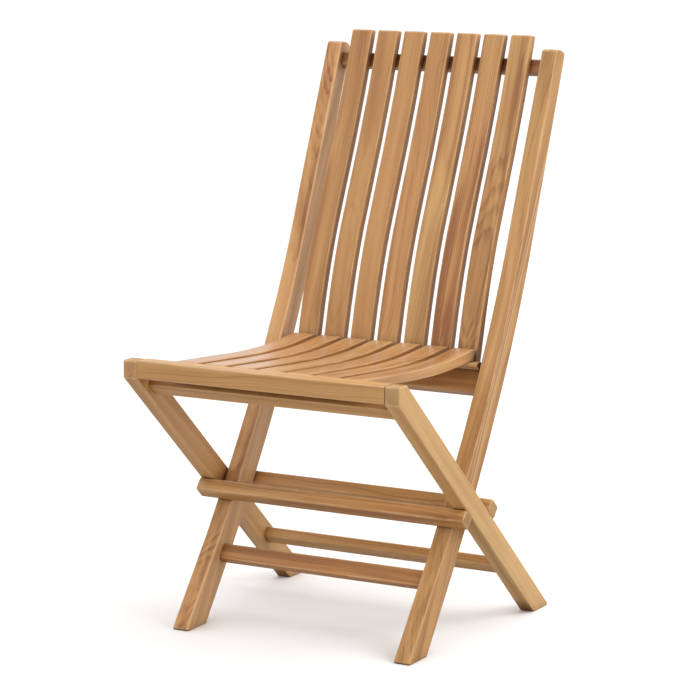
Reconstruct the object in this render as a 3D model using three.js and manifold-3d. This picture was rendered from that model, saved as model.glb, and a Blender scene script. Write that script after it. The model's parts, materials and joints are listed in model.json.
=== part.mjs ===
// Folding garden chair of solid teak, standing open. Millimetres, +Z up, front towards -Y, mirrored about X = 0.
// Two frames cross like an X: the back frame (stiles, rails, back slats) and the leg frame outside it.
// The seat turns on the tops of the legs and rests on the back frame's lower rail.
// Side outlines are drawn as (y, z), y counted back from the front of the seat. The last lines centre the chair.
import * as THREE from "three";
import { mergeVertices } from "three/addons/utils/BufferGeometryUtils.js";
import Module from "manifold-3d";

const wasm = await Module();
wasm.setup();

// ---- driving dimensions -------------------------------------------------------------------------------------
const CHAIR_DEPTH = 613.7;
const GAP = 0.3; // between pieces that touch
const SEAT_HEIGHT = 443.5; // top of the front rail and of the legs

const LEG = { outer: 240, thickness: 25, depth: 37, footY: 461.5, angle: THREE.MathUtils.degToRad(42) };
const LEG_INNER = LEG.outer - LEG.thickness;

// The stiles are straight below bendLow and above bendHigh; between them the lean changes evenly.
const STILE = {
  outer: 211.5, thickness: 27.5, footY: 84.8, top: 898.4,
  leanLow: 0.789, leanHigh: 0.409, bendLow: 91, bendHigh: 618,
  depthAtFoot: 46.6, taper: 0.018,
};
const STILE_INNER = STILE.outer - STILE.thickness;
const STILE_CROWN = { downFront: 6, downRear: 10, rearRise: 6 }; // pillow-shaped top end

const SLAT = { count: 7, backWidth: 36.8, seatWidth: 35.6, pitch: 48.8 };
const BACK_SLAT_THICKNESS = 15.5;
const BACK_SLAT_TOP_RISE = 3; // of the rear edge of the top end, above square
const SEAT_SLAT_THICKNESS = { front: 14, rear: 18 };
const TONGUE = { width: 27.6, thickness: 6, length: 9.5 };
const TENON = { length: 12, shoulder: 4 };
const THROUGH = 1; // how far a cutting tool runs past the face it cuts

const PIVOT_HEIGHT = 200.8; // crossing pivots of the two frames
const BOLT = { radius: 4, headRadius: 6.5, headLength: 4, reach: 19 }; // head sunk in the stile's inner face
const WASHER = { outerRadius: 11, innerRadius: 4.7, thickness: 2.9 };
const PIN = { radius: 4, inLeg: 17, inRail: 20 };
const RUNNING_FIT = 0.1; // radial clearance round bolts and pins
const SCREW = { radius: 2, headRadius: 3.8, headLength: 2.5, bite: 9 };

const FRONT_RAIL = { depth: 30, height: 27.7 };
const FRONT_RAIL_PLAY = 0.5; // at each end, between the rail and the leg
const REAR_BEARER = { halfLength: 178, frontY: 370, stepY: 380, rearY: 390, lip: 6.6, rearUndercut: 3.5 };
const CREST_DROP = 0.92; // the lower back rail's front edge is rounded, so its crest is lower than its corner
const ROUNDED = { corner: 3, ease: 2 }; // long edges rubbed round
const BETWEEN_FRAMES = { corner: 2.5, ease: 0 }; // rails whose ends butt against a frame
const SLIGHTLY_ROUNDED = { corner: 2.2, ease: 1.5 };

// ---- materials ----------------------------------------------------------------------------------------------
const teak = (color) => () => new THREE.MeshStandardMaterial({ color, roughness: 0.62, metalness: 0 });
const frameTeak = teak(0xbd8e5c);
const slatTeak = teak(0xb98454);
const seatTeak = teak(0xcb9f74);
const steel = () => new THREE.MeshStandardMaterial({ color: 0xa9abad, roughness: 0.35, metalness: 0.9 });
const nylon = () => new THREE.MeshStandardMaterial({ color: 0xd9d6cc, roughness: 0.5, metalness: 0 });

const MAX_CORNER_ANGLE = THREE.MathUtils.degToRad(160); // flatter outline corners stay as they are

// ---- points, solids and nodes -------------------------------------------------------------------------------
const point = (y, z) => new THREE.Vector2(y, z);
const along = (start, direction, distance) => start.clone().addScaledVector(direction, distance);

// Turns an outline into a shape with rounded corners. Points along a smooth curve turn too little to count.
function roundedShape(outline, radius) {
  const shape = new THREE.Shape();
  outline.forEach((corner, i) => {
    const toPrevious = outline.at(i - 1).clone().sub(corner).normalize();
    const toNext = outline[(i + 1) % outline.length].clone().sub(corner).normalize();
    const halfAngle = toPrevious.angleTo(toNext) / 2;
    const isCorner = radius > 0 && halfAngle < MAX_CORNER_ANGLE / 2;
    const start = isCorner ? along(corner, toPrevious, radius / Math.tan(halfAngle)) : corner;
    if (i === 0) shape.moveTo(start.x, start.y);
    else shape.lineTo(start.x, start.y);
    if (isCorner) {
      const end = along(corner, toNext, radius / Math.tan(halfAngle));
      const inward = toPrevious.clone().add(toNext).normalize();
      const centre = along(corner, inward, radius / Math.sin(halfAngle));
      const from = start.sub(centre).angle();
      const to = end.sub(centre).angle();
      shape.absarc(centre.x, centre.y, radius, from, to, toPrevious.cross(toNext) > 0);
    }
  });
  return shape;
}

// Extrudes a (y, z) outline across the chair, from x = low to x = high. `corner` rounds the outline's corners,
// `ease` the edges round its two ends.
function acrossChair(outline, low, high, { corner = 0, ease = 0 } = {}) {
  const geometry = new THREE.ExtrudeGeometry(roundedShape(outline, corner), {
    depth: high - low - 2 * ease,
    steps: 1,
    curveSegments: 2,
    bevelEnabled: ease > 0,
    bevelThickness: ease,
    bevelSize: ease,
    bevelOffset: -ease,
    bevelSegments: 3,
  });
  geometry.translate(0, 0, ease);
  const yzToWorld = new THREE.Matrix4().makeBasis(
    new THREE.Vector3(0, 1, 0), new THREE.Vector3(0, 0, 1), new THREE.Vector3(1, 0, 0),
  );
  return geometry.applyMatrix4(yzToWorld).translate(low, 0, 0);
}

// A round bar along X, with its ends at x = low and x = high, centred on the side-view point.
function roundBar(radius, low, high, centre, segments = 24) {
  return new THREE.CylinderGeometry(radius, radius, high - low, segments)
    .rotateZ(Math.PI / 2)
    .translate((low + high) / 2, centre.x, centre.y);
}

function toSolid(geometry) {
  const bare = geometry.clone();
  bare.deleteAttribute("normal");
  bare.deleteAttribute("uv");
  const merged = mergeVertices(bare, 1e-4);
  return new wasm.Manifold(new wasm.Mesh({
    numProp: 3,
    vertProperties: new Float32Array(merged.attributes.position.array),
    triVerts: new Uint32Array(merged.index.array),
  }));
}

function toGeometry(solid) {
  const mesh = solid.getMesh();
  const geometry = new THREE.BufferGeometry();
  geometry.setAttribute("position", new THREE.BufferAttribute(new Float32Array(mesh.vertProperties), 3));
  geometry.setIndex(new THREE.BufferAttribute(new Uint32Array(mesh.triVerts), 1));
  geometry.computeVertexNormals();
  return geometry;
}

// Joins the added geometries to the body and cuts the others out of it.
function shaped(body, { add = [], cut = [] }) {
  let solid = toSolid(body);
  for (const extra of add) solid = solid.add(toSolid(extra));
  for (const tool of cut) solid = solid.subtract(toSolid(tool));
  return toGeometry(solid);
}

function addNode(parent, name, geometry, material) {
  const mesh = new THREE.Mesh(geometry, material());
  mesh.name = name;
  parent.add(mesh);
}

const SIDES = [["left", -1], ["right", 1]];
const span = (side, inner, outer) => (side < 0 ? [-outer, -inner] : [inner, outer]);

// A rectangle in the side view: corner at `origin`, sides along two directions.
function rectangle(origin, sideA, lengthA, sideB, lengthB) {
  const second = along(origin, sideA, lengthA);
  return [origin, second, along(second, sideB, lengthB), along(origin, sideB, lengthB)];
}

// ---- side-view geometry of the two frames -------------------------------------------------------------------
// Leg: straight, running down and back from the front of the seat.
const legDown = point(Math.cos(LEG.angle), -Math.sin(LEG.angle));
const legOut = point(-Math.sin(LEG.angle), -Math.cos(LEG.angle)); // out of the lower, front face
const legFoot = point(LEG.footY, 0);
const legLowerFaceY = (z) => LEG.footY - z / Math.tan(LEG.angle);
const legUpperFaceY = (z) => legLowerFaceY(z) + LEG.depth / Math.sin(LEG.angle);

// Stile: lean, front edge and local directions at a height of the front edge.
const bendLength = STILE.bendHigh - STILE.bendLow;
const bendShare = (z) => THREE.MathUtils.clamp((z - STILE.bendLow) / bendLength, 0, 1);
const stileLean = (z) => STILE.leanLow + (STILE.leanHigh - STILE.leanLow) * bendShare(z);
const stileDepth = (z) => STILE.depthAtFoot - STILE.taper * z;

function stileFrontY(z) {
  const t = bendShare(z);
  const throughBend = bendLength * (STILE.leanLow * t + (STILE.leanHigh - STILE.leanLow) * t * t / 2);
  const below = STILE.leanLow * Math.min(z, STILE.bendLow);
  const above = STILE.leanHigh * Math.max(z - STILE.bendHigh, 0);
  return STILE.footY + below + throughBend + above;
}

function stileAt(z) {
  const up = point(stileLean(z), 1).normalize();
  return { front: point(stileFrontY(z), z), up, back: point(up.y, -up.x) };
}

function stileRear(z) {
  const { front, back } = stileAt(z);
  return along(front, back, stileDepth(z));
}

const pivot = point((legLowerFaceY(PIVOT_HEIGHT) + legUpperFaceY(PIVOT_HEIGHT)) / 2, PIVOT_HEIGHT);
const seatPivot = point(FRONT_RAIL.depth / 2, SEAT_HEIGHT - FRONT_RAIL.height / 2);

// ---- rails --------------------------------------------------------------------------------------------------
// Each rail lies square to its stile or leg: its place along it, its setback from the front face, its section.
const TOP_RAIL = { at: 871.8, setback: 11.3, width: 24, thickness: 18 };
const LOWER_BACK_RAIL = { at: 395, setback: 15, width: 38, thickness: 24 };
const FRONT_STRETCHER = { at: 119.4, setback: 17.5, width: 27, thickness: 17 };
const UNDER_SEAT_RAIL = { at: 575.6, setback: 10, width: 27, thickness: 18 };
const REAR_STRETCHER = { at: 112.8, setback: 10, width: 24, thickness: 18 };
const STOP_BAR = { width: 26, thickness: 22 };
const FRONT_STOP_BAR = { ...STOP_BAR, at: 313.3, setback: -STOP_BAR.thickness - GAP };
const REAR_STOP_BAR = { ...STOP_BAR, at: 246.4, setback: LEG.depth + GAP };

// Side outlines of a rail, shrunk by `inset` all round for its tenons.
function stileRailOutline(rail, inset = 0) {
  const { front, up, back } = stileAt(rail.at);
  const corner = along(along(front, up, inset - rail.width / 2), back, rail.setback + inset);
  return rectangle(corner, back, rail.thickness - 2 * inset, up, rail.width - 2 * inset);
}

function legRailOutline(rail, inset = 0) {
  const onLowerFace = along(legFoot, legDown, rail.width / 2 - inset - rail.at);
  const corner = along(onLowerFace, legOut, -rail.setback - inset);
  return rectangle(corner, legOut, 2 * inset - rail.thickness, legDown, 2 * inset - rail.width);
}

// A rail between two frame members with inner faces at x = -innerX and x = innerX, and a tenon at each end.
function tenonedRail(outline, rail, innerX, cut = []) {
  const reach = innerX + TENON.length;
  return shaped(acrossChair(outline(rail), GAP - innerX, innerX - GAP, BETWEEN_FRAMES), {
    add: [acrossChair(outline(rail, TENON.shoulder), -reach, reach)],
    cut,
  });
}

// The mortises for a list of rails in the frame member on one side.
function mortises(outline, rails, side, innerX) {
  const [low, high] = span(side, innerX - THROUGH, innerX + TENON.length + GAP);
  return rails.map((rail) => acrossChair(outline(rail, TENON.shoulder - GAP), low, high));
}

// ---- slats --------------------------------------------------------------------------------------------------
const slatCentres = Array.from({ length: SLAT.count }, (_, i) => (i - (SLAT.count - 1) / 2) * SLAT.pitch);
const CURVE_STEPS = 14;

// Runs along a curve at a distance to its right, which may change evenly from start to end.
function beside(curve, startDistance, endDistance = startDistance) {
  return Array.from({ length: CURVE_STEPS + 1 }, (_, i) => {
    const share = i / CURVE_STEPS;
    const tangent = curve.getTangent(share);
    const distance = THREE.MathUtils.lerp(startDistance, endDistance, share);
    return along(curve.getPoint(share), point(tangent.y, -tangent.x), distance);
  });
}

// Where the line through p along direction a meets the line through q along direction b.
function meeting(p, a, q, b) {
  const distance = q.clone().sub(p).cross(b) / a.cross(b);
  return along(p, a, distance);
}

// A slat's tongue or, grown by `slack`, the mortise it fits.
function tongueBox(centreX, outline, slack = 0) {
  const half = TONGUE.width / 2 + slack;
  return acrossChair(outline, centreX - half, centreX + half);
}

// Back slats stand on the sloping top face of the lower back rail.
const backSlatFront = new THREE.CubicBezierCurve(
  point(405, 440), point(458.5, 652.8), point(492.7, 646.4), point(586.9, 916.7),
);
const landing = stileAt(LOWER_BACK_RAIL.at);
const landingEdge = along(
  along(landing.front, landing.up, LOWER_BACK_RAIL.width / 2), landing.back, LOWER_BACK_RAIL.setback,
);
const BACK_TONGUE_SETBACK = 14;

function backTongueOutline(slack = 0) {
  const top = along(along(landingEdge, landing.up, THROUGH), landing.back, BACK_TONGUE_SETBACK - slack);
  const thickness = TONGUE.thickness + 2 * slack;
  return rectangle(top, landing.up, -THROUGH - TONGUE.length - slack, landing.back, thickness);
}

function backSlatOutline() {
  const front = beside(backSlatFront, 0);
  const rear = beside(backSlatFront, BACK_SLAT_THICKNESS);
  rear[CURVE_STEPS].addScaledVector(backSlatFront.getTangent(1), BACK_SLAT_TOP_RISE);
  const downwards = backSlatFront.getTangent(0).negate();
  const floor = along(landingEdge, landing.up, GAP);
  const frontFoot = meeting(front[0], downwards, floor, landing.back);
  const rearFoot = meeting(rear[0], downwards, floor, landing.back);
  return [frontFoot, rearFoot, ...rear, ...front.reverse()];
}

// Seat slats run back from the front rail in a shallow dish. Their rear ends are undercut to follow the back.
const seatSlatTop = new THREE.CubicBezierCurve(
  point(FRONT_RAIL.depth + GAP, SEAT_HEIGHT), point(323.4, 416.8), point(329.8, 434.4), point(396.5, 434.1),
);
const REAR_UNDERCUT = 7;
const SEAT_TONGUE_TOP = SEAT_HEIGHT - TENON.shoulder;

function seatTongueOutline(slack = 0) {
  const corner = point(FRONT_RAIL.depth + THROUGH, SEAT_TONGUE_TOP + slack);
  const thickness = TONGUE.thickness + 2 * slack;
  return rectangle(corner, point(-1, 0), THROUGH + TONGUE.length + slack, point(0, -1), thickness);
}

function seatSlatOutline() {
  const top = beside(seatSlatTop, 0);
  const bottom = beside(seatSlatTop, SEAT_SLAT_THICKNESS.front, SEAT_SLAT_THICKNESS.rear);
  bottom[0].x = top[0].x;
  bottom[CURVE_STEPS].x -= REAR_UNDERCUT;
  return [...bottom, ...top.reverse()];
}

// ---- screws that hold the slats -----------------------------------------------------------------------------
// A screw pointing along `direction` in the side view, with its head's outer face at `start`. With `slack` it is
// the hole for that screw, which begins above the head.
function screwShape(start, direction, length, slack = 0) {
  const { radius, headRadius, headLength } = SCREW;
  const mouth = slack > 0 ? -THROUGH : 0;
  const profile = [
    point(0, mouth), point(headRadius + slack, mouth),
    point(headRadius + slack, headLength), point(radius + slack, headLength + radius),
    point(radius + slack, length + slack), point(0, length + slack),
  ];
  return new THREE.LatheGeometry(profile, 14).rotateX(direction.angle()).translate(0, start.x, start.y);
}

// One screw for each slat, from the outer face of the piece that carries the slats.
function screwRow(start, direction, length) {
  const sunk = along(start, direction, GAP);
  return {
    screws: slatCentres.map((x) => screwShape(sunk, direction, length - GAP).translate(x, 0, 0)),
    holes: slatCentres.map((x) => screwShape(sunk, direction, length - GAP, GAP).translate(x, 0, 0)),
  };
}

// ---- back frame: stiles, rails, back slats, crossing bolts -------------------------------------------------
const chair = new THREE.Group();
const backFrame = new THREE.Group();
const legFrame = new THREE.Group();
const seat = new THREE.Group();
backFrame.name = "back_frame";
legFrame.name = "leg_frame";
seat.name = "seat";

const STILE_STEPS = 12;
const CROWN_STEPS = 10;

// The top end, from the rear edge over to the front edge.
function stileCrown() {
  const { front, up } = stileAt(STILE.top);
  const rear = along(stileRear(STILE.top), up, STILE_CROWN.rearRise);
  return new THREE.CubicBezierCurve(
    along(rear, up, -STILE_CROWN.downRear), rear, front, along(front, up, -STILE_CROWN.downFront),
  ).getPoints(CROWN_STEPS);
}

function stileOutline() {
  const bend = Array.from(
    { length: STILE_STEPS + 1 }, (_, i) => STILE.bendLow + bendLength * i / STILE_STEPS,
  );
  const footDepth = STILE.depthAtFoot * Math.hypot(1, STILE.leanLow);
  const front = [0, ...bend].map((z) => stileAt(z).front);
  const rear = [point(STILE.footY + footDepth, 0), ...bend.map(stileRear)];
  return [...rear, ...stileCrown(), ...front.reverse()];
}

for (const [name, side] of SIDES) {
  const boltHole = roundBar(
    BOLT.radius + RUNNING_FIT, ...span(side, STILE_INNER - THROUGH, STILE.outer + THROUGH), pivot,
  );
  const headInner = STILE_INNER + GAP;
  const headOuter = headInner + BOLT.headLength;
  const headRecess = roundBar(
    BOLT.headRadius + GAP, ...span(side, STILE_INNER - THROUGH, headOuter + GAP), pivot,
  );
  const stile = acrossChair(stileOutline(), ...span(side, STILE_INNER, STILE.outer), ROUNDED);
  const rails = [TOP_RAIL, LOWER_BACK_RAIL, FRONT_STRETCHER];
  addNode(backFrame, `stile_${name}`, shaped(stile, {
    cut: [boltHole, headRecess, ...mortises(stileRailOutline, rails, side, STILE_INNER)],
  }), frameTeak);

  const shank = roundBar(
    BOLT.radius, ...span(side, headInner + THROUGH, LEG_INNER + BOLT.reach - THROUGH), pivot,
  );
  const head = roundBar(BOLT.headRadius, ...span(side, headInner, headOuter), pivot, 6);
  addNode(backFrame, `pivot_bolt_${name}`, shaped(shank, { add: [head] }), steel);

  const washerInner = STILE.outer + (LEG_INNER - STILE.outer - WASHER.thickness) / 2;
  const washerOuter = washerInner + WASHER.thickness;
  const washerSpan = span(side, washerInner, washerOuter);
  const bore = roundBar(
    WASHER.innerRadius, ...span(side, washerInner - THROUGH, washerOuter + THROUGH), pivot,
  );
  addNode(backFrame, `pivot_washer_${name}`, shaped(
    roundBar(WASHER.outerRadius, ...washerSpan, pivot, 32), { cut: [bore] },
  ), nylon);
}

const topRail = stileAt(TOP_RAIL.at);
const topScrews = screwRow(
  along(topRail.front, topRail.back, TOP_RAIL.setback + TOP_RAIL.thickness),
  topRail.back.clone().negate(),
  TOP_RAIL.thickness + SCREW.bite,
);
const backTongueSlots = slatCentres.map((x) => tongueBox(x, backTongueOutline(GAP), GAP));
addNode(backFrame, "top_rail", tenonedRail(
  stileRailOutline, TOP_RAIL, STILE_INNER, topScrews.holes,
), frameTeak);
addNode(backFrame, "lower_back_rail", tenonedRail(
  stileRailOutline, LOWER_BACK_RAIL, STILE_INNER, backTongueSlots,
), frameTeak);
addNode(backFrame, "front_stretcher", tenonedRail(stileRailOutline, FRONT_STRETCHER, STILE_INNER), frameTeak);

slatCentres.forEach((x, i) => {
  const blade = acrossChair(backSlatOutline(), x - SLAT.backWidth / 2, x + SLAT.backWidth / 2, ROUNDED);
  addNode(backFrame, `back_slat_${i + 1}`, shaped(blade, {
    add: [tongueBox(x, backTongueOutline())], cut: [topScrews.holes[i]],
  }), slatTeak);
  addNode(backFrame, `top_rail_screw_${i + 1}`, topScrews.screws[i], steel);
});

// ---- leg frame: legs, rails, stop bars, seat pins -----------------------------------------------------------
function legOutline() {
  const noseZ = LEG.footY * Math.tan(LEG.angle);
  return [
    point(LEG.footY, 0),
    point(legUpperFaceY(0), 0),
    point(legUpperFaceY(SEAT_HEIGHT), SEAT_HEIGHT),
    point(0, SEAT_HEIGHT),
    point(0, noseZ),
  ];
}

for (const [name, side] of SIDES) {
  const boltHole = roundBar(
    BOLT.radius + RUNNING_FIT, ...span(side, LEG_INNER - THROUGH, LEG_INNER + BOLT.reach), pivot,
  );
  const pinHole = roundBar(
    PIN.radius + RUNNING_FIT, ...span(side, LEG_INNER - THROUGH, LEG_INNER + PIN.inLeg + GAP), seatPivot,
  );
  const leg = acrossChair(legOutline(), ...span(side, LEG_INNER, LEG.outer), ROUNDED);
  addNode(legFrame, `leg_${name}`, shaped(leg, {
    cut: [boltHole, pinHole, ...mortises(legRailOutline, [UNDER_SEAT_RAIL, REAR_STRETCHER], side, LEG_INNER)],
  }), frameTeak);

  const pin = roundBar(PIN.radius, ...span(side, LEG_INNER - PIN.inRail, LEG_INNER + PIN.inLeg), seatPivot);
  addNode(legFrame, `seat_pin_${name}`, pin, steel);
}

addNode(legFrame, "under_seat_rail", tenonedRail(legRailOutline, UNDER_SEAT_RAIL, LEG_INNER), frameTeak);
addNode(legFrame, "rear_stretcher", tenonedRail(legRailOutline, REAR_STRETCHER, LEG_INNER), frameTeak);
for (const [name, bar] of [["stop_bar_front", FRONT_STOP_BAR], ["stop_bar_rear", REAR_STOP_BAR]]) {
  addNode(legFrame, name, acrossChair(legRailOutline(bar), -LEG.outer, LEG.outer, ROUNDED), frameTeak);
}

// ---- seat: front rail, slats, rear bearer -------------------------------------------------------------------
const frontRailHalf = LEG_INNER - FRONT_RAIL_PLAY;
const frontRailOutline = rectangle(
  point(0, SEAT_HEIGHT - FRONT_RAIL.height), point(1, 0), FRONT_RAIL.depth, point(0, 1), FRONT_RAIL.height,
);
const railPinHoles = SIDES.map(([, side]) => roundBar(
  PIN.radius + RUNNING_FIT, ...span(side, LEG_INNER - PIN.inRail - GAP, LEG_INNER), seatPivot,
));
addNode(seat, "seat_front_rail", shaped(
  acrossChair(frontRailOutline, -frontRailHalf, frontRailHalf, BETWEEN_FRAMES),
  { cut: [...railPinHoles, ...slatCentres.map((x) => tongueBox(x, seatTongueOutline(GAP), GAP))] },
), frameTeak);

// The bearer joins the slats underneath. Its rear half steps down to rest on the lower back rail's front edge.
const bearerBottom = landingEdge.y - CREST_DROP;
const bearerTop = seatSlatTop.v3.y - SEAT_SLAT_THICKNESS.rear - GAP;
const lipBottom = bearerTop - REAR_BEARER.lip;
const bearerOutline = [
  point(REAR_BEARER.frontY, lipBottom),
  point(REAR_BEARER.stepY, lipBottom),
  point(REAR_BEARER.stepY, bearerBottom),
  point(REAR_BEARER.rearY - REAR_BEARER.rearUndercut, bearerBottom),
  point(REAR_BEARER.rearY, bearerTop),
  point(REAR_BEARER.frontY, bearerTop),
];
const bearerScrews = screwRow(
  point((REAR_BEARER.frontY + REAR_BEARER.stepY) / 2, lipBottom), point(0, 1), REAR_BEARER.lip + SCREW.bite,
);
addNode(seat, "seat_rear_bearer", shaped(
  acrossChair(bearerOutline, -REAR_BEARER.halfLength, REAR_BEARER.halfLength, SLIGHTLY_ROUNDED),
  { cut: bearerScrews.holes },
), frameTeak);

slatCentres.forEach((x, i) => {
  const blade = acrossChair(seatSlatOutline(), x - SLAT.seatWidth / 2, x + SLAT.seatWidth / 2, ROUNDED);
  addNode(seat, `seat_slat_${i + 1}`, shaped(blade, {
    add: [tongueBox(x, seatTongueOutline())], cut: [bearerScrews.holes[i]],
  }), seatTeak);
  addNode(seat, `bearer_screw_${i + 1}`, bearerScrews.screws[i], steel);
});

chair.add(backFrame, legFrame, seat);
chair.position.y = -CHAIR_DEPTH / 2;
export default chair;
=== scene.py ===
"""Looks for the folding teak chair: grained timber over each CAD piece, plus floor, light and camera."""

import json
import math
import random

import bmesh
import bpy
from mathutils import Matrix, Vector


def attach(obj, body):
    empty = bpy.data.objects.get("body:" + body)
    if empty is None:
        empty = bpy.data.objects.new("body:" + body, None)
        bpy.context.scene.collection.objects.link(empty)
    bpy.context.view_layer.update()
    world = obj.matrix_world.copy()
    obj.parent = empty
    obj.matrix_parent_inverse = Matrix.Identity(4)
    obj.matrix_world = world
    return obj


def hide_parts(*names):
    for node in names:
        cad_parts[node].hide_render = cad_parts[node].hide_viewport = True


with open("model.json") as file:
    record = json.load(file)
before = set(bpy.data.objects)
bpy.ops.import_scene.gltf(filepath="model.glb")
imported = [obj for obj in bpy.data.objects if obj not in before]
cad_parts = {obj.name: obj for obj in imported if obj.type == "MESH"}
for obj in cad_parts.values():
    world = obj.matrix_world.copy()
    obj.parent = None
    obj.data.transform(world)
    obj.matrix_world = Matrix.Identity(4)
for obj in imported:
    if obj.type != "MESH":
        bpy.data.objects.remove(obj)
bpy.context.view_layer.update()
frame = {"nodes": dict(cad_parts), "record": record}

# ---- driving values, in metres and degrees ---------------------------------------------------------------------
CAMERA = dict(azimuth=29.18, elevation=9.94, distance=4.578, target=(0.0, -0.0307, 0.4399), lens=150.67)
FLAT_ANGLE = math.radians(1.0)      # faces this close to coplanar are one face
EASED_WIDTH = 0.0026                # faces narrower than this belong to a rounded edge
END_GRAIN_FROM = 0.4                # how squarely a face must cut the fibres before it shows as end grain
RING_PITCH = 0.0034                 # one year's growth
ROSE = (1.02, 0.89, 0.86, 1.0)      # tint of the redder heartwood
OLIVE = (0.99, 1.04, 1.00, 1.0)     # tint of the yellower wood
# painted shade: how far the darkening reaches, and the tint it multiplies into the wood in gaps and corners
PAINTED_SHADE_REACH = 0.036               # how near another surface darkens the wood
PAINTED_SHADE_TINT = (0.30, 0.18, 0.09, 1.0)
SEED = 11
WELD = 2e-6                         # CAD corners closer than this are one corner
FLOOR_SEEN = 0.93                   # how pale the floor looks
FLOOR_BOUNCE = (0.49, 0.53)         # how pale it is to light that goes on to the chair
SKY = 1.15

NODES = frame["nodes"]
WOOD = [n for n in NODES if not any(word in n for word in ("screw", "bolt", "pin", "washer"))]
STEEL = [n for n in NODES if any(word in n for word in ("screw", "bolt", "pin"))]


def to_linear(*rgb):
    """sRGB 0-255 to linear 0-1, with alpha."""
    parts = [c / 255 for c in rgb]
    return tuple(c / 12.92 if c <= 0.04045 else ((c + 0.055) / 1.055) ** 2.4 for c in parts) + (1.0,)


# ---- node trees --------------------------------------------------------------------------------------------------
class Tree:
    """Short calls for building a material's node tree."""

    def __init__(self, name):
        self.material = bpy.data.materials.new(name)
        self.material.use_nodes = True
        self.nodes = self.material.node_tree.nodes
        self.links = self.material.node_tree.links
        self.nodes.clear()

    def add(self, kind, inputs=(), **settings):
        node = self.nodes.new(kind)
        for key, value in settings.items():
            setattr(node, key, value)
        for key, value in dict(inputs).items():
            self.put(node.inputs[key], value)
        return node

    def put(self, socket, value):
        if isinstance(value, bpy.types.NodeSocket):
            self.links.new(value, socket)
        else:
            socket.default_value = value

    def math(self, operation, a, b=0.0, c=0.0, clamp=False):
        node = self.add("ShaderNodeMath", operation=operation, use_clamp=clamp)
        for i, value in enumerate((a, b, c)):
            self.put(node.inputs[i], value)
        return node.outputs[0]

    def vector(self, operation, a, b=(0, 0, 0), scale=None):
        node = self.add("ShaderNodeVectorMath", operation=operation)
        self.put(node.inputs[0], a)
        self.put(node.inputs[1], b)
        if scale is not None:
            self.put(node.inputs["Scale"], scale)
        return node

    def noise(self, position, scale, detail=3.0, roughness=0.55):
        node = self.add("ShaderNodeTexNoise", {
            "Vector": position, "Scale": scale, "Detail": detail, "Roughness": roughness})
        return node.outputs["Fac"]

    def ramp(self, value, low, high, to_low=0.0, to_high=1.0, smooth=True):
        node = self.add("ShaderNodeMapRange", {
            "Value": value, "From Min": low, "From Max": high, "To Min": to_low, "To Max": to_high},
            interpolation_type="SMOOTHSTEP" if smooth else "LINEAR")
        return node.outputs["Result"]

    def mix(self, factor, a, b, blend="MIX"):
        node = self.add("ShaderNodeMix", data_type="RGBA", blend_type=blend)
        self.put(node.inputs["Factor"], factor)
        self.put(node.inputs[6], a)
        self.put(node.inputs[7], b)
        return node.outputs[2]

    def attribute(self, name):
        return self.add("ShaderNodeAttribute", attribute_name=name)


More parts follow.
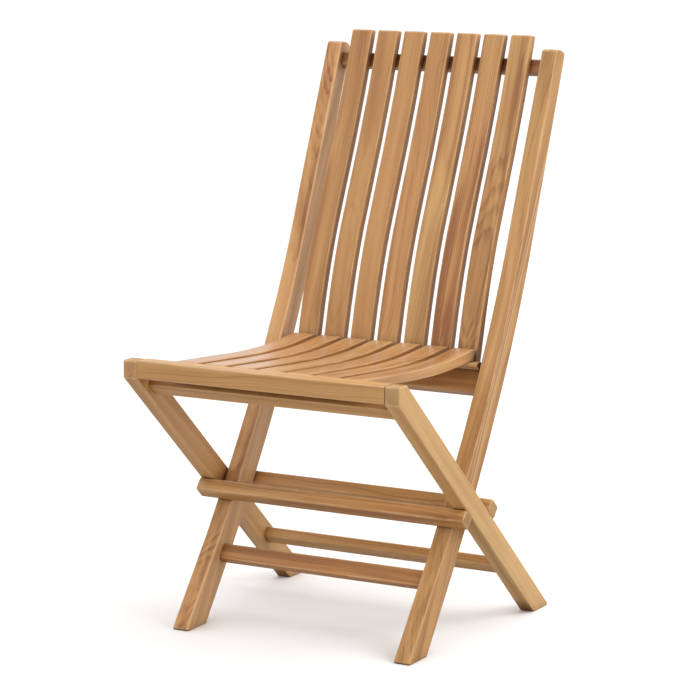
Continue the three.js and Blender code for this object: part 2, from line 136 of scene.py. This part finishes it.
def teak(name, pale, mid, dark, roughness):
    """Oiled teak. Each piece carries its own wood coordinates, x along the grain, the log's heart on the x axis."""
    t = Tree(name)
    grain = t.attribute("grain").outputs["Vector"]
    stock = t.add("ShaderNodeSeparateXYZ", {"Vector": t.attribute("stock").outputs["Vector"]})
    depth_of_piece, rose_of_piece, figure_of_piece = stock.outputs
    marks = t.add("ShaderNodeSeparateXYZ", {"Vector": t.attribute("marks").outputs["Vector"]})
    dark_line, pale_side = marks.outputs[0], marks.outputs[1]
    eased = t.attribute("eased").outputs["Fac"]
    end = t.attribute("end_grain").outputs["Fac"]

    # slow wander of the grain along the log, then distance from the heart gives the year rings
    wander_at = t.vector("MULTIPLY", grain, (2.2, 9.0, 9.0)).outputs[0]
    wander = t.add("ShaderNodeTexNoise", {"Vector": wander_at, "Scale": 1.0, "Detail": 2.0})
    shift = t.vector("SUBTRACT", wander.outputs["Color"], (0.5, 0.5, 0.5)).outputs[0]
    bent = t.vector("ADD", grain, t.vector("MULTIPLY", shift, (0.0, 0.035, 0.035)).outputs[0]).outputs[0]
    across = t.vector("MULTIPLY", bent, (0.0, 1.0, 1.0)).outputs[0]
    radius = t.vector("LENGTH", across).outputs["Value"]
    uneven = t.noise(t.vector("MULTIPLY", grain, (0.6, 60.0, 60.0)).outputs[0], 1.0, 2.0)
    turns = t.math("ADD", t.math("DIVIDE", radius, RING_PITCH), t.math("MULTIPLY", uneven, 2.4))
    phase = t.math("FRACT", turns)
    late = t.math("MULTIPLY", t.ramp(phase, 0.25, 0.9), t.ramp(phase, 1.0, 0.9))
    year = t.noise(t.add("ShaderNodeCombineXYZ", {"X": t.math("FLOOR", turns)}).outputs[0], 3.1, 0.0)
    ring = t.math("MULTIPLY", late, t.ramp(year, 0.3, 0.7, 0.1, 1.0))

    # fibres, pores and broad colour bands, all drawn out along the grain
    fibre = t.noise(t.vector("MULTIPLY", bent, (9.0, 1500.0, 1500.0)).outputs[0], 1.0, 3.0, 0.6)
    strand = t.noise(t.vector("MULTIPLY", bent, (3.0, 300.0, 300.0)).outputs[0], 1.0, 4.0, 0.6)
    band = t.noise(t.vector("MULTIPLY", bent, (1.4, 62.0, 62.0)).outputs[0], 1.0, 2.0, 0.5)
    hue = t.noise(t.vector("MULTIPLY", bent, (1.3, 17.0, 17.0)).outputs[0], 1.0, 1.0, 0.5)
    cloud = t.noise(t.vector("MULTIPLY", grain, (7.0, 22.0, 22.0)).outputs[0], 1.0, 2.0)
    pores_at = t.vector("MULTIPLY", bent, (95.0, 2100.0, 2100.0)).outputs[0]
    pore_noise = t.noise(pores_at, 1.0, 1.0, 0.4)
    pore = t.math("MULTIPLY", t.ramp(pore_noise, 0.62, 0.72), t.ramp(phase, 0.35, 0.05, 0.35, 1.0))

    swing = t.math("MULTIPLY", t.math("SUBTRACT", t.ramp(band, 0.25, 0.75), 0.5), 0.62)
    swing = t.math("ADD", swing, t.math("MULTIPLY", t.math("SUBTRACT", ring, 0.3), 0.34))
    swing = t.math("MULTIPLY", swing, figure_of_piece)
    depth = t.math("ADD", swing, t.math("MULTIPLY", t.math("SUBTRACT", strand, 0.5), 0.22))
    depth = t.math("ADD", depth, t.math("MULTIPLY", t.math("SUBTRACT", fibre, 0.5), 0.13))
    depth = t.math("ADD", depth, t.math("MULTIPLY", t.math("SUBTRACT", cloud, 0.5), 0.22))
    depth = t.math("ADD", depth, depth_of_piece, clamp=True)
    colour = t.mix(t.ramp(depth, 0.0, 0.5, smooth=False), pale, mid)
    colour = t.mix(t.ramp(depth, 0.5, 1.0, smooth=False), colour, dark)

    # rose heartwood against olive: the hue drifts across each board
    lean_to_rose = t.math("SUBTRACT", rose_of_piece, 0.5)
    rosy = t.math("ADD", t.ramp(hue, 0.2, 0.8, 0.22, 0.78), lean_to_rose, clamp=True)
    colour = t.mix(rosy, t.mix(1.0, colour, OLIVE, "MULTIPLY"), t.mix(1.0, colour, ROSE, "MULTIPLY"))
    colour = t.mix(t.math("MULTIPLY", pore, 0.30), colour, to_linear(92, 54, 26))

    # one dark line with a pale band on each side, where a board has one
    away = t.math("ABSOLUTE", dark_line)
    wobble = t.math("MULTIPLY", t.math("SUBTRACT", strand, 0.5), 0.0035)
    away = t.math("ADD", away, wobble)
    # a paler tint on the far side of a plane, where a board has one: on the left stile it covers just the inner face
    pale_side_mask = t.ramp(t.math("ADD", pale_side, wobble), -0.0015, 0.001, 0.0, 0.5)
    colour = t.mix(pale_side_mask, colour, to_linear(220, 178, 130))
    colour = t.mix(t.ramp(away, 0.009, 0.003, 0.0, 0.42), colour, to_linear(214, 172, 124))
    colour = t.mix(t.ramp(away, 0.0022, 0.0006, 0.0, 0.75), colour, to_linear(120, 72, 36))

    # end grain drinks more oil and greys first; eased edges are painted paler, partly rubbed wear and partly a
    # painted highlight where the rounded edges catch the light
    end_colour = t.mix(0.6, colour, to_linear(146, 118, 80))
    end_colour = t.mix(t.math("MULTIPLY", pore, 0.4), end_colour, to_linear(82, 52, 30))
    colour = t.mix(t.math("MULTIPLY", end, 0.85), colour, end_colour)
    # pale tint on the eased edges: rubbed wear plus a painted highlight
    rub = t.noise(t.vector("MULTIPLY", grain, (22.0, 60.0, 60.0)).outputs[0], 1.0, 3.0)
    wear_and_highlight = t.math("MULTIPLY", eased, t.ramp(rub, 0.35, 0.7, 0.25, 0.8))
    colour = t.mix(t.math("MULTIPLY", wear_and_highlight, 0.55), colour, to_linear(226, 184, 138))

    # painted shade: the wood is darkened in narrow gaps and where pieces meet, the more the nearer other surfaces are
    openness = t.add("ShaderNodeAmbientOcclusion", {"Distance": PAINTED_SHADE_REACH}, samples=6).outputs["AO"]
    painted_shade = t.ramp(openness, 0.12, 0.74, 0.95, 0.0)
    colour = t.mix(painted_shade, colour, t.mix(1.0, colour, PAINTED_SHADE_TINT, "MULTIPLY"))

    satin = t.math("ADD", roughness, t.math("MULTIPLY", t.math("SUBTRACT", strand, 0.5), 0.20))
    satin = t.math("ADD", satin, t.math("MULTIPLY", end, 0.20))
    satin = t.math("ADD", satin, t.math("MULTIPLY", pore, 0.15))
    relief = t.math("SUBTRACT", t.math("MULTIPLY", fibre, 0.35), t.math("MULTIPLY", pore, 0.8))
    relief = t.math("ADD", relief, t.math("MULTIPLY", ring, 0.45))
    relief = t.math("ADD", relief, t.math("MULTIPLY", strand, 0.5))
    bump = t.add("ShaderNodeBump", {"Strength": 0.3, "Distance": 0.00015, "Height": relief})
    shader = t.add("ShaderNodeBsdfPrincipled", {
        "Base Color": colour, "Roughness": satin, "Normal": bump.outputs[0]})
    shader.inputs["Specular IOR Level"].default_value = 0.5
    t.add("ShaderNodeOutputMaterial", {"Surface": shader.outputs[0]})
    return t.material


def stainless():
    t = Tree("stainless")
    place = t.add("ShaderNodeTexCoord").outputs["Object"]
    turned = t.noise(t.vector("MULTIPLY", place, (2600.0, 240.0, 240.0)).outputs[0], 1.0, 3.0)
    dull = t.noise(place, 160.0, 4.0)
    colour = t.mix(dull, to_linear(150, 152, 154), to_linear(186, 188, 190))
    rough = t.math("ADD", t.math("MULTIPLY", turned, 0.16), t.ramp(dull, 0.3, 0.7, 0.22, 0.38))
    bump = t.add("ShaderNodeBump", {"Strength": 0.3, "Distance": 0.00008, "Height": turned})
    shader = t.add("ShaderNodeBsdfPrincipled", {
        "Base Color": colour, "Metallic": 1.0, "Roughness": rough, "Normal": bump.outputs[0]})
    t.add("ShaderNodeOutputMaterial", {"Surface": shader.outputs[0]})
    return t.material


def nylon():
    t = Tree("nylon")
    place = t.add("ShaderNodeTexCoord").outputs["Object"]
    mottle = t.noise(place, 220.0, 3.0)
    colour = t.mix(mottle, to_linear(206, 202, 190), to_linear(224, 220, 210))
    bump = t.add("ShaderNodeBump", {"Strength": 0.2, "Distance": 0.0001, "Height": mottle})
    shader = t.add("ShaderNodeBsdfPrincipled", {
        "Base Color": colour, "Roughness": t.ramp(mottle, 0.3, 0.7, 0.42, 0.56), "Normal": bump.outputs[0]})
    t.add("ShaderNodeOutputMaterial", {"Surface": shader.outputs[0]})
    return t.material


# ---- timber over the CAD pieces ---------------------------------------------------------------------------------
def long_axis(mesh):
    """The direction in which a straight piece is longest, from the spread of its surface."""
    import numpy as np
    points = np.array([v.co[:] for v in mesh.vertices])
    centred = points - points.mean(axis=0)
    _, vectors = np.linalg.eigh(centred.T @ centred)
    return Vector(vectors[:, 2]), Vector(points.mean(axis=0))


def wood_frame(mesh, rng):
    """World point to wood coordinates: x along the piece, with the heart of the log a few centimetres away."""
    axis, centre = long_axis(mesh)
    side = Vector((1, 0, 0)) if abs(axis.x) < 0.9 else Vector((0, 1, 0))
    second = (side - axis * side.dot(axis)).normalized()
    third = axis.cross(second)
    turn = Matrix((axis, second, third)).to_4x4()
    angle = rng.uniform(0, 2 * math.pi)
    reach = rng.uniform(0.05, 0.13)
    heart = Vector((rng.uniform(-9, 9), math.cos(angle) * reach, math.sin(angle) * reach))
    tilt = Matrix.Rotation(math.radians(rng.uniform(-0.9, 0.9)), 4, "Y") @ Matrix.Rotation(
        math.radians(rng.uniform(-0.9, 0.9)), 4, "Z")
    return tilt @ Matrix.Translation(heart) @ turn @ Matrix.Translation(-centre), axis


def welded(node, name):
    """A copy of a CAD piece's mesh, welded, with each flat face in one piece."""
    mesh = NODES[node].data.copy()
    mesh.name = name
    shape = bmesh.new()
    shape.from_mesh(mesh)
    bmesh.ops.remove_doubles(shape, verts=shape.verts, dist=WELD)
    bmesh.ops.dissolve_limit(shape, angle_limit=FLAT_ANGLE, verts=shape.verts, edges=shape.edges)
    shape.to_mesh(mesh)
    shape.free()
    return mesh


def timber(node, material, rng):
    """Rebuilds one CAD piece as timber: its eased edges shaded round, its mesh carrying wood coordinates."""
    mesh = welded(node, "timber_" + node)
    to_wood, axis = wood_frame(mesh, rng)
    usual = (rng.uniform(0.38, 0.62), rng.uniform(0.3, 0.6), rng.uniform(0.7, 1.3))
    stock = STOCK.get(node, usual)
    grain = mesh.attributes.new("grain", "FLOAT_VECTOR", "POINT")
    for v in mesh.vertices:
        grain.data[v.index].vector = to_wood @ v.co
    stocks = mesh.attributes.new("stock", "FLOAT_VECTOR", "POINT")
    for item in stocks.data:
        item.vector = stock
    marks = mesh.attributes.new("marks", "FLOAT_VECTOR", "POINT")
    for v in mesh.vertices:
        marks.data[v.index].vector = (beyond(DARK_LINES, node, v.co), beyond(PALE_SIDES, node, v.co), 0.0)
    eased = mesh.attributes.new("eased", "FLOAT", "FACE")
    ends = mesh.attributes.new("end_grain", "FLOAT", "FACE")
    for face in mesh.polygons:
        longest = max((mesh.vertices[a].co - mesh.vertices[b].co).length for a, b in face.edge_keys)
        eased.data[face.index].value = 1.0 if face.area / longest < EASED_WIDTH else 0.0
        across = (abs(face.normal.dot(axis)) - END_GRAIN_FROM) / (1 - END_GRAIN_FROM)
        ends.data[face.index].value = min(1.0, max(0.0, 1.5 * across))
    mesh.shade_smooth()

    piece = bpy.data.objects.new("timber_" + node, mesh)
    bpy.context.scene.collection.objects.link(piece)
    piece.data.materials.clear()
    piece.data.materials.append(material)
    level = piece.modifiers.new("level", "WEIGHTED_NORMAL")
    level.weight = 100
    level.keep_sharp = True
    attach(piece, BODY[node])
    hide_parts(node)
    return piece


BODY = {node: body for body, nodes in frame["record"]["behaviour"]["bodies"].items() for node in nodes}
SLOT = {part["node"]: part["material_slot"] for part in frame["record"]["subparts"]}

# how dark, how rosy and how strongly figured each board is; the boards not named here draw theirs at random
STOCK = {
    "stile_right": (0.60, 0.36, 0.8), "stile_left": (0.62, 0.62, 1.3),
    "leg_right": (0.26, 0.32, 0.8), "leg_left": (0.26, 0.40, 0.9),
    "seat_front_rail": (0.40, 0.40, 0.8), "under_seat_rail": (0.45, 0.45, 0.8),
    "front_stretcher": (0.80, 0.85, 0.9), "rear_stretcher": (0.50, 0.50, 0.9),
    "stop_bar_front": (0.64, 0.56, 0.9), "stop_bar_rear": (0.42, 0.50, 0.9),
    "lower_back_rail": (0.62, 0.50, 0.8), "top_rail": (0.85, 0.70, 0.8),
    "back_slat_1": (0.60, 0.42, 0.8), "back_slat_2": (0.60, 0.66, 0.5), "back_slat_3": (0.54, 0.42, 0.6),
    "back_slat_4": (0.52, 0.48, 0.7), "back_slat_5": (0.54, 0.38, 1.1), "back_slat_6": (0.82, 0.50, 1.4),
    "back_slat_7": (0.72, 0.50, 1.2),
}


def beyond(planes, node, point):
    """Metres past a board's plane, or far short of one on the boards that have none."""
    if node not in planes:
        return -1.0
    origin, normal = planes[node]
    return (point - Vector(origin)).dot(Vector(normal).normalized())


# a point and a normal: a dark line lies in the plane, and the paler tint is on the side the normal points to
DARK_LINES = {
    "stile_right": ((0.2, -0.031, 0.218), (0, 0.374, -0.205)),
}
PALE_SIDES = {
    "stile_left": ((-0.187, 0, 0), (1, 0, 0)),
}
TEAKS = {
    "teak_frame": teak("teak_frame", to_linear(207, 163, 108), to_linear(184, 137, 82), to_linear(140, 91, 46), 0.44),
    "teak_slat": teak("teak_slat", to_linear(204, 159, 103), to_linear(183, 136, 82), to_linear(142, 93, 47), 0.44),
    "teak_seat": teak("teak_seat", to_linear(202, 158, 108), to_linear(184, 137, 88), to_linear(148, 99, 55), 0.33),
}
rng = random.Random(SEED)
for node in WOOD:
    timber(node, TEAKS[SLOT[node]], rng)


def hardware(node, material):
    """Metal and plastic keep the CAD shape, with their flats and rounds shaded apart."""
    mesh = welded(node, "metal_" + node)
    piece = bpy.data.objects.new("metal_" + node, mesh)
    bpy.context.scene.collection.objects.link(piece)
    piece.data.materials.clear()
    piece.data.materials.append(material)
    ease = piece.modifiers.new("ease", "BEVEL")
    ease.width = 0.0003
    ease.segments = 2
    ease.limit_method = "ANGLE"
    ease.angle_limit = math.radians(40)
    ease.harden_normals = True
    mesh.shade_smooth()
    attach(piece, BODY[node])
    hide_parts(node)


STAINLESS = stainless()
NYLON = nylon()
for node in NODES:
    if node not in WOOD:
        hardware(node, STAINLESS if node in STEEL else NYLON)


# ---- floor, light and camera ------------------------------------------------------------------------------------
def paper():
    """Pale floor. It isn't physical: it gives every ray but the camera's a darker tone, so the gaps stay dark."""
    t = Tree("paper")
    seen = t.add("ShaderNodeLightPath").outputs["Is Camera Ray"]
    mottle = t.noise(t.add("ShaderNodeTexCoord").outputs["Object"], 0.6, 2.0)
    bounce = t.mix(mottle, *((tone, tone, tone, 1) for tone in FLOOR_BOUNCE))
    shader = t.add("ShaderNodeBsdfPrincipled", {
        "Base Color": t.mix(seen, bounce, (FLOOR_SEEN, FLOOR_SEEN, FLOOR_SEEN, 1)), "Roughness": 0.8})
    shader.inputs["Specular IOR Level"].default_value = 0.2
    t.add("ShaderNodeOutputMaterial", {"Surface": shader.outputs[0]})
    return t.material


bpy.ops.mesh.primitive_plane_add(size=60, location=(0, 0, 0))
floor = bpy.context.object
floor.name = "floor"
floor.data.materials.append(paper())


def softbox(name, azimuth, elevation, distance, size, power, colour=(1, 1, 1)):
    """An area light facing the chair from an azimuth (0 in front, 90 on the chair's +X side) and elevation."""
    a, e = math.radians(azimuth), math.radians(elevation)
    aim = Vector((0, 0, 0.45))
    place = aim + distance * Vector((math.sin(a) * math.cos(e), -math.cos(a) * math.cos(e), math.sin(e)))
    lamp = bpy.data.lights.new(name, "AREA")
    lamp.shape = "RECTANGLE"
    lamp.size, lamp.size_y = size
    lamp.energy = power
    lamp.color = colour
    box = bpy.data.objects.new(name, lamp)
    box.location = place
    box.rotation_euler = (aim - place).to_track_quat("-Z", "Y").to_euler()
    bpy.context.scene.collection.objects.link(box)


softbox("key", 100, 42, 3.4, (1.8, 1.8), 38, (1.0, 0.985, 0.96))
softbox("top", 20, 82, 3.2, (2.2, 2.2), 10)

world = bpy.data.worlds.new("studio")
world.use_nodes = True
world.node_tree.nodes["Background"].inputs["Color"].default_value = (1, 1, 1, 1)
world.node_tree.nodes["Background"].inputs["Strength"].default_value = SKY
bpy.context.scene.world = world
bpy.context.scene.view_settings.view_transform = "Standard"
bpy.context.scene.view_settings.look = "None"

a, e = math.radians(CAMERA["azimuth"]), math.radians(CAMERA["elevation"])
target = Vector(CAMERA["target"])
lens = bpy.data.cameras.new("camera")
lens.lens = CAMERA["lens"]
lens.sensor_width = 36
lens.clip_end = 200
camera = bpy.data.objects.new("camera", lens)
camera.location = target + CAMERA["distance"] * Vector(
    (math.sin(a) * math.cos(e), -math.cos(a) * math.cos(e), math.sin(e)))
camera.rotation_euler = (target - camera.location).to_track_quat("-Z", "Y").to_euler()
bpy.context.scene.collection.objects.link(camera)
bpy.context.scene.camera = camera
